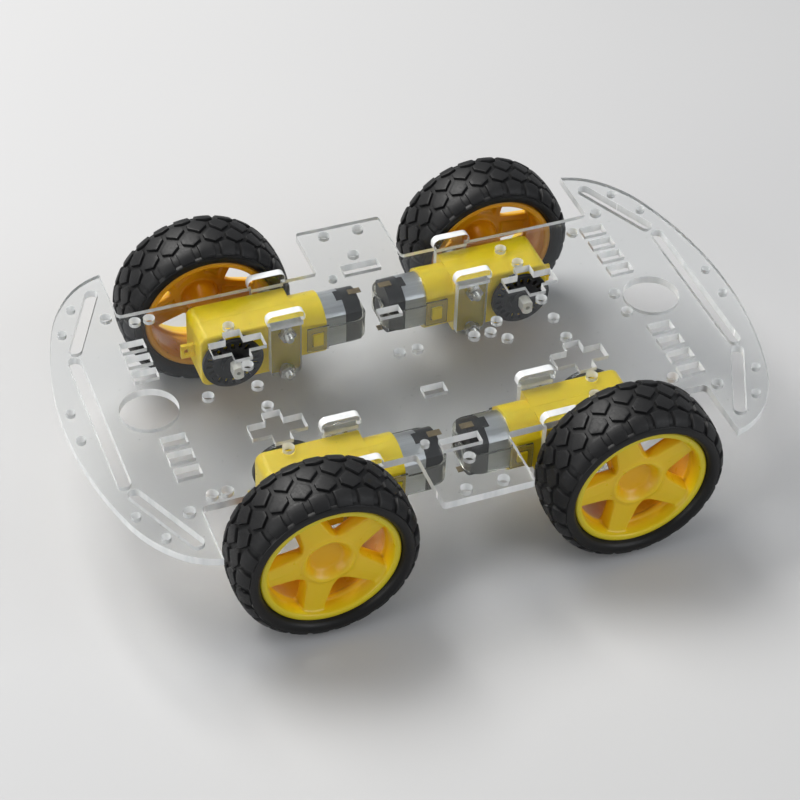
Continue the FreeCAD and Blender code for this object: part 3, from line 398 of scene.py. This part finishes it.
sv, sf = screw_mesh()
lo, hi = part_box("outer_brackets")
FACE_Y = hi.y / MM
verts, faces = [], []
turn = 0.3
for c, (sx, sy) in CORNERS.items():
    for s in (1, -1):
        base = len(verts)
        turn += 1.1
        for x, y, z in sv:
            xr = x * math.cos(turn) - z * math.sin(turn)
            zr = x * math.sin(turn) + z * math.cos(turn)
            if sy < 0:
                xr = -xr
            verts.append(((sx * 36.0 + xr) * MM, sy * (FACE_Y + y) * MM, (32.5 + s * 8.75 + zr) * MM))
        for f in sf:
            faces.append(tuple(base + i for i in f))
me = mesh_from("clamp_screws_fine", verts, faces)
bm = bmesh.new(); bm.from_mesh(me)
bmesh.ops.recalc_face_normals(bm, faces=bm.faces)
bm.to_mesh(me); bm.free()
me.set_sharp_from_angle(angle=math.radians(50))
screws = new_obj("clamp_screws_fine", me, [M_STEEL], "chassis", "steel", "clamp_screws")
# cross recesses, cut out of the heads
cv, cf = [], []
turn = 0.3
for c, (sx, sy) in CORNERS.items():
    for s in (1, -1):
        turn += 1.1
        for k in range(2):
            a = turn + k * math.pi / 2
            ca, sa = math.cos(a), math.sin(a)
            b0 = len(cv)
            for y, l, w in ((2.4, 1.75, 0.42), (0.9, 0.95, 0.26)):
                for px, pz in ((-l, -w), (l, -w), (l, w), (-l, w)):
                    x, z = px * ca - pz * sa, px * sa + pz * ca
                    cv.append(((sx * 36.0 + x) * MM, sy * (FACE_Y + y) * MM, (32.5 + s * 8.75 + z) * MM))
            cf += [tuple(b0 + i for i in q) for q in ((0, 1, 2, 3), (7, 6, 5, 4), (0, 4, 5, 1), (1, 5, 6, 2), (2, 6, 7, 3), (3, 7, 4, 0))]
cme = mesh_from("recess_tool", cv, cf, False)
bm = bmesh.new(); bm.from_mesh(cme); bmesh.ops.recalc_face_normals(bm, faces=bm.faces); bm.to_mesh(cme); bm.free()
tool = bpy.data.objects.new("recess_tool", cme)
bpy.context.scene.collection.objects.link(tool)


def apply_boolean(ob, tool_ob):
    bo = ob.modifiers.new("cut", "BOOLEAN")
    bo.operation = "DIFFERENCE"
    bo.solver = "EXACT"
    bo.use_self = True
    bo.object = tool_ob
    bpy.context.view_layer.update()
    dg = bpy.context.evaluated_depsgraph_get()
    new = bpy.data.meshes.new_from_object(ob.evaluated_get(dg))
    ob.modifiers.clear()
    old = ob.data
    ob.data = new
    bpy.data.meshes.remove(old)


apply_boolean(screws, tool)
bpy.data.objects.remove(tool)


# ------------------------------------------------------------------ wheel rim, as one moulded solid
def smin(a, b, k):
    h = np.clip(0.5 + 0.5 * (b - a) / k, 0, 1)
    return b * (1 - h) + a * h - k * h * (1 - h)


def smax(a, b, k):
    return -smin(-a, -b, k)


def sstep(x, a, b):
    t = np.clip((x - a) / (b - a), 0, 1)
    return t * t * (3 - 2 * t)


def rim_mesh(voxel=0.3):
    xs = np.arange(-25.6, 25.6 + voxel, voxel, dtype=np.float32)
    ys = np.arange(-17.6, 11.6 + voxel, voxel, dtype=np.float32)
    X, Z = np.meshgrid(xs, xs, indexing="ij")
    R = np.sqrt(X * X + Z * Z)
    PH = np.arctan2(Z, X)
    # windows stand at 0, 72, 144 degrees; the arms are half way between
    psi = (PH - math.radians(36.0)) % math.radians(72.0)
    psi = np.where(psi > math.radians(36.0), psi - math.radians(72.0), psi)
    U, V = R * np.cos(psi), R * np.sin(psi)
    arm = np.abs(V) - (4.9 - 0.11 * (U - 11.0))
    star = smin(arm, R - 10.2, 3.0)
    top = 6.9 + 1.2 * (R / 21.0) ** 2 + 0.35 * np.clip(-arm, 0, 4) / 4.0
    floor = 4.9
    T = floor + (top - floor) * (1 - sstep(star, -0.35, 1.1))
    T = T - 2.9 * (1 - sstep(R, 5.6, 8.2)) + 0.55 * np.exp(-((R - 8.9) / 0.8) ** 2)
    B = 3.2 + 0.9 * (1 - sstep(star, -2.6, -1.2)) * sstep(R, 9.0, 10.5) * (1 - sstep(R, 19.5, 20.8))
    # the window's own outline, a rounded triangle with its apex to the hub
    pw = (PH + math.radians(36.0)) % math.radians(72.0) - math.radians(36.0)
    UW, VW = R * np.cos(pw), R * np.sin(pw)
    win = smax(smax(np.abs(VW) * 0.76 - (UW - 10.5) * 0.65, R - 20.6, 1.0), 10.9 - UW, 0.6)
    grid = np.empty((len(xs), len(ys), len(xs)), np.float32)
    flats = np.maximum(np.abs(X) - 1.88, R - 2.73)
    for j, y in enumerate(ys):
        web = smax(smax((y - T) * 0.62, (B - y) * 0.8, 0.5), -win, 0.5)
        web = np.maximum(web, R - 22.3)
        ay = abs(y)
        inner = 21.45 + 0.85 * float(np.clip((ay - 6.0) / 4.0, 0, 1)) ** 2
        drum = np.maximum(np.maximum(inner - R, R - 22.85), ay - 10.0)
        # rounded lip rings at both ends
        q0, q1 = np.abs(R - 23.25) - 0.35, abs(ay - 9.45) - 0.1
        lip = np.sqrt(np.maximum(q0, 0) ** 2 + max(q1, 0) ** 2) + np.minimum(np.maximum(q0, q1), 0) - 0.9
        body = smin(smin(drum, lip, 0.7), web, 0.9)
        hub = np.maximum(np.maximum(R - (5.2 + 1.5 * float(np.clip((y + 9) / 10.0, 0, 1))), -16.5 - y), y - 3.6)
        body = smin(body, hub, 0.8)
        if y < -7.9:
            body = np.maximum(body, -flats)
        elif y < -7.4:
            body = np.maximum(body, -np.maximum(flats, (y + 7.9)))
        grid[:, j, :] = body
    g = openvdb.FloatGrid(voxel * 2.0)
    g.copyFromArray(np.clip(grid, -voxel * 2, voxel * 2))
    pts, tris, quads = g.convertToPolygons(0.0, 0.0)
    pts = pts * voxel + np.array([xs[0], ys[0], xs[0]])
    me = bpy.data.meshes.new("rim_fine")
    fs = [tuple(int(i) for i in f) for f in quads] + [tuple(int(i) for i in f) for f in tris]
    me.from_pydata((pts * MM).tolist(), [], fs)
    me.update()
    bm = bmesh.new(); bm.from_mesh(me)
    for _ in range(3):
        bmesh.ops.smooth_vert(bm, verts=bm.verts, factor=0.5, use_axis_x=True, use_axis_y=True, use_axis_z=True)
    bmesh.ops.recalc_face_normals(bm, faces=bm.faces)
    bm.to_mesh(me); bm.free()
    tmp = bpy.data.objects.new("rim_tmp", me)
    bpy.context.scene.collection.objects.link(tmp)
    dm = tmp.modifiers.new("dec", "DECIMATE")
    dm.ratio = 0.42
    bpy.context.view_layer.update()
    out = bpy.data.meshes.new_from_object(tmp.evaluated_get(bpy.context.evaluated_depsgraph_get()))
    bpy.data.objects.remove(tmp)
    out.name = "rim_fine"
    out.shade_smooth()
    return out


# ------------------------------------------------------------------ tyre with its block tread
def profile(t):
    """Outer cross-section of the tyre by distance t from the crown: radius, y, and outward normal."""
    pts = PROFILE
    i = int(np.clip(np.searchsorted(PT, abs(t)) - 1, 0, len(pts) - 2))
    f = (abs(t) - PT[i]) / (PT[i + 1] - PT[i])
    p = pts[i] * (1 - f) + pts[i + 1] * f
    nrm = PN[i] * (1 - f) + PN[i + 1] * f
    nrm = nrm / np.linalg.norm(nrm)
    s = 1 if t >= 0 else -1
    return p[0], s * p[1], nrm[0], s * nrm[1]


def build_profile():
    key = np.array([(32.42, 0.0), (32.38, 2.0), (32.26, 4.0), (32.02, 6.0), (31.62, 8.0), (31.0, 9.7), (30.1, 11.0), (29.0, 11.9), (28.0, 12.3), (26.9, 12.42), (25.8, 12.1), (25.0, 11.2), (24.65, 10.2)])
    # smooth the key points into a dense polyline
    out = []
    n = len(key)
    ext = np.vstack([[key[1][0], -key[1][1]], key, key[-1] * 2 - key[-2]])
    for i in range(1, n):
        p0, p1, p2, p3 = ext[i - 1], ext[i], ext[i + 1], ext[i + 2]
        for k in range(8):
            t = k / 8
            out.append(0.5 * ((2 * p1) + (-p0 + p2) * t + (2 * p0 - 5 * p1 + 4 * p2 - p3) * t * t + (-p0 + 3 * p1 - 3 * p2 + p3) * t ** 3))
    out.append(key[-1])
    return np.array(out)


PROFILE = build_profile()
PT = np.concatenate([[0], np.cumsum(np.linalg.norm(np.diff(PROFILE, axis=0), axis=1))])
_t = np.gradient(PROFILE, axis=0)
PN = np.stack([_t[:, 1], -_t[:, 0]], axis=1)
PN = PN / np.linalg.norm(PN, axis=1)[:, None]
PITCHES = 24
PITCH = 2 * math.pi * 32.4 / PITCHES
DEPTH = 1.05


def inset(poly, d):
    """Offset a counter-clockwise polygon inwards by d."""
    n = len(poly)
    out = []
    for i in range(n):
        p0, p1, p2 = np.array(poly[i - 1]), np.array(poly[i]), np.array(poly[(i + 1) % n])
        e1, e2 = (p1 - p0) / np.linalg.norm(p1 - p0), (p2 - p1) / np.linalg.norm(p2 - p1)
        n1, n2 = np.array([-e1[1], e1[0]]), np.array([-e2[1], e2[0]])
        b = n1 + n2
        b = b / np.dot(b, n1) if abs(np.dot(b, n1)) > 1e-6 else n1
        out.append(tuple(p1 + b * d))
    return out


def tread_polys():
    """The blocks of one pitch in unrolled coordinates: s round the tyre, t across it."""
    h = PITCH / 2
    blocks = []
    for side in (1, -1):
        off = 0.0 if side > 0 else h
        # centre row, pointed to the middle so that the two rows interlock
        a = [(-3.75, 4.85), (-3.9, 2.45), (0.0, -1.1), (3.9, 2.45), (3.75, 4.85), (0.0, 7.15)]
        # shoulder row
        b = [(-3.5 + h, 6.9), (0.0 + h, 6.05), (3.5 + h, 6.9), (3.3 + h, 9.8), (3.15 + h, 13.3), (-3.15 + h, 13.3), (-3.3 + h, 9.8)]
        for k, poly in enumerate((a, b)):
            if k == 0:
                pl = [(s, t) for s, t in poly]
            else:
                pl = [(s, t + 0.25) for s, t in poly]
            pl = [(s + off, t * side) for s, t in pl]
            # make it counter-clockwise
            ar = sum(pl[i][0] * pl[(i + 1) % len(pl)][1] - pl[(i + 1) % len(pl)][0] * pl[i][1] for i in range(len(pl)))
            if ar < 0:
                pl = pl[::-1]
            blocks.append((pl, k))
    return blocks


def tyre_mesh():
    bm = bmesh.new()
    for poly, kind in tread_polys():
        rings = [(0.56, 0.0), (0.42, -0.05), (0.35, -0.2), (0.22, -DEPTH - 0.2)]
        loops = []
        for d, hgt in rings:
            pl = inset(poly, d)
            loops.append([bm.verts.new((x, y, hgt)) for x, y in pl])
        bm.faces.new(loops[0])
        for a, b in zip(loops[:-1], loops[1:]):
            n = len(a)
            for i in range(n):
                j = (i + 1) % n
                bm.faces.new((a[j], a[i], b[i], b[j]))
        bm.faces.new(loops[-1][::-1])
    for s in np.arange(-PITCH, PITCH * 1.6, 1.35):
        bmesh.ops.bisect_plane(bm, geom=bm.verts[:] + bm.edges[:] + bm.faces[:], dist=1e-5, plane_co=(s, 0, 0), plane_no=(1, 0, 0))
    for t in np.arange(-13.5, 13.6, 1.2):
        bmesh.ops.bisect_plane(bm, geom=bm.verts[:] + bm.edges[:] + bm.faces[:], dist=1e-5, plane_co=(0, t, 0), plane_no=(0, 1, 0))
    bmesh.ops.recalc_face_normals(bm, faces=bm.faces)
    bv = [v.co.copy() for v in bm.verts]
    for i, v in enumerate(bm.verts):
        v.index = i
    bf = [tuple(v.index for v in f.verts) for f in bm.faces]
    bm.free()
    verts, faces, idx = [], [], []
    local = []
    for co in bv:
        r, y, nr, ny = profile(co.y)
        # shoulders get shallower towards the side wall
        hgt = co.z
        local.append((co.x / 32.4, r + nr * hgt, y + ny * hgt))
    for k in range(PITCHES):
        base = len(verts)
        a0 = 2 * math.pi * k / PITCHES
        for th, r, y in local:
            a = a0 + th
            verts.append((r * math.cos(a) * MM, y * MM, r * math.sin(a) * MM))
        for f in bf:
            faces.append(tuple(base + i for i in f))
            idx.append(0)
    # carcass: groove floor, side walls, beads and the inner face against the rim
    prof = []
    for t in np.linspace(0, PT[-1], 46):
        r, y, nr, ny = profile(t)
        d = DEPTH * float(1 - np.clip((t - 12.4) / 1.1, 0, 1) ** 0.8) if t > 12.4 else DEPTH
        if t > 13.9:
            d = 0.0
        prof.append((r - nr * d, y - ny * d, 0 if t < 13.0 else 1))
    prof += [(24.0, 9.2, 1), (23.1, 7.8, 1), (23.05, 5.0, 1), (23.05, 0.0, 1)]
    loop = [(r, -y, mt) for r, y, mt in prof[::-1]][:-1] + prof[:-1]
    seg = 240
    base = len(verts)
    n = len(loop)
    for i in range(seg):
        a = 2 * math.pi * i / seg
        for r, y, mt in loop:
            verts.append((r * math.cos(a) * MM, y * MM, r * math.sin(a) * MM))
    for i in range(seg):
        j = (i + 1) % seg
        for k in range(n):
            l = (k + 1) % n
            faces.append((base + i * n + k, base + j * n + k, base + j * n + l, base + i * n + l))
            idx.append(1 if loop[k][2] or loop[l][2] else 0)
    me = bpy.data.meshes.new("tyre_fine")
    me.from_pydata(verts, [], faces)
    me.materials.append(M_TYRE)
    me.materials.append(M_TYRE_SIDE)
    me.polygons.foreach_set("material_index", idx)
    me.update()
    bm = bmesh.new(); bm.from_mesh(me)
    bmesh.ops.recalc_face_normals(bm, faces=bm.faces)
    bm.to_mesh(me); bm.free()
    me.shade_smooth()
    me.set_sharp_from_angle(angle=math.radians(38))
    return me


WINDOW_ANGLE = {"front_left": 35.0, "rear_left": 23.0, "front_right": 73.0, "rear_right": 75.0}
RIM_ME = rim_mesh()
RIM_ME.materials.clear()
RIM_ME.materials.append(M_RIM)
TYRE_ME = tyre_mesh()
for c, (sx, sy) in CORNERS.items():
    target = WINDOW_ANGLE[c]
    local = target if sy > 0 else 180.0 - target
    rim_me = RIM_ME.copy()
    rim_me.transform(Matrix.Rotation(math.radians(-local), 4, "Y"))
    mw = Matrix.Translation((sx * AXLE[0] * MM, sy * AXLE[1] * MM, AXLE[2] * MM))
    if sy < 0:
        mw = mw @ Matrix.Rotation(math.pi, 4, "Z")
    for stem, me, slot, node in (("wheel_rim", rim_me, "rim_plastic", "wheel_rim_" + c), ("tyre", TYRE_ME, "tyre", "tyre_" + c)):
        ob = bpy.data.objects.new(node + "_fine", me)
        bpy.context.scene.collection.objects.link(ob)
        ob.matrix_world = mw
        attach(ob, "wheel_" + c)
        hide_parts(node)

# ------------------------------------------------------------------ floor, light
fl = mesh_from("floor", [(-3, -3, 0), (3, -3, 0), (3, 3, 0), (-3, 3, 0)], [(0, 1, 2, 3)], False)
floor = bpy.data.objects.new("floor", fl)
bpy.context.scene.collection.objects.link(floor)
fm = Mat("floor_pale").set(Roughness=0.6, IOR=1.3, Specular_IOR_Level=0.25)
fm.color(fm.ramp(fm.noise(2.0, 2.0), [(0.3, (0.50, 0.50, 0.505)), (0.7, (0.53, 0.53, 0.53))]))
fl.materials.append(fm.m)

bpy.context.scene.view_settings.view_transform = "Standard"
world = bpy.data.worlds.new("world")
bpy.context.scene.world = world
world.use_nodes = True
bg = world.node_tree.nodes["Background"]
bg.inputs[0].default_value = (0.86, 0.89, 0.93, 1)
bg.inputs[1].default_value = 0.34


def area(name, loc, target, size, power, color=(1, 1, 1)):
    d = bpy.data.lights.new(name, "AREA")
    d.shape = "RECTANGLE"
    d.size, d.size_y = size
    d.energy = power
    d.color = color
    o = bpy.data.objects.new(name, d)
    bpy.context.scene.collection.objects.link(o)
    o.location = loc
    o.rotation_euler = (Vector(target) - Vector(loc)).to_track_quat("-Z", "Y").to_euler()
    return o


area("key", (-0.35, 0.55, 0.95), (0, 0, 0.03), (0.7, 0.5), 15.0, (1.0, 0.985, 0.96))
area("fill", (0.7, -0.65, 0.7), (0, 0, 0.03), (0.8, 0.6), 4.0, (0.95, 0.97, 1.0))
area("side", (-0.9, -0.25, 0.45), (0, 0, 0.03), (0.5, 0.6), 2.6)
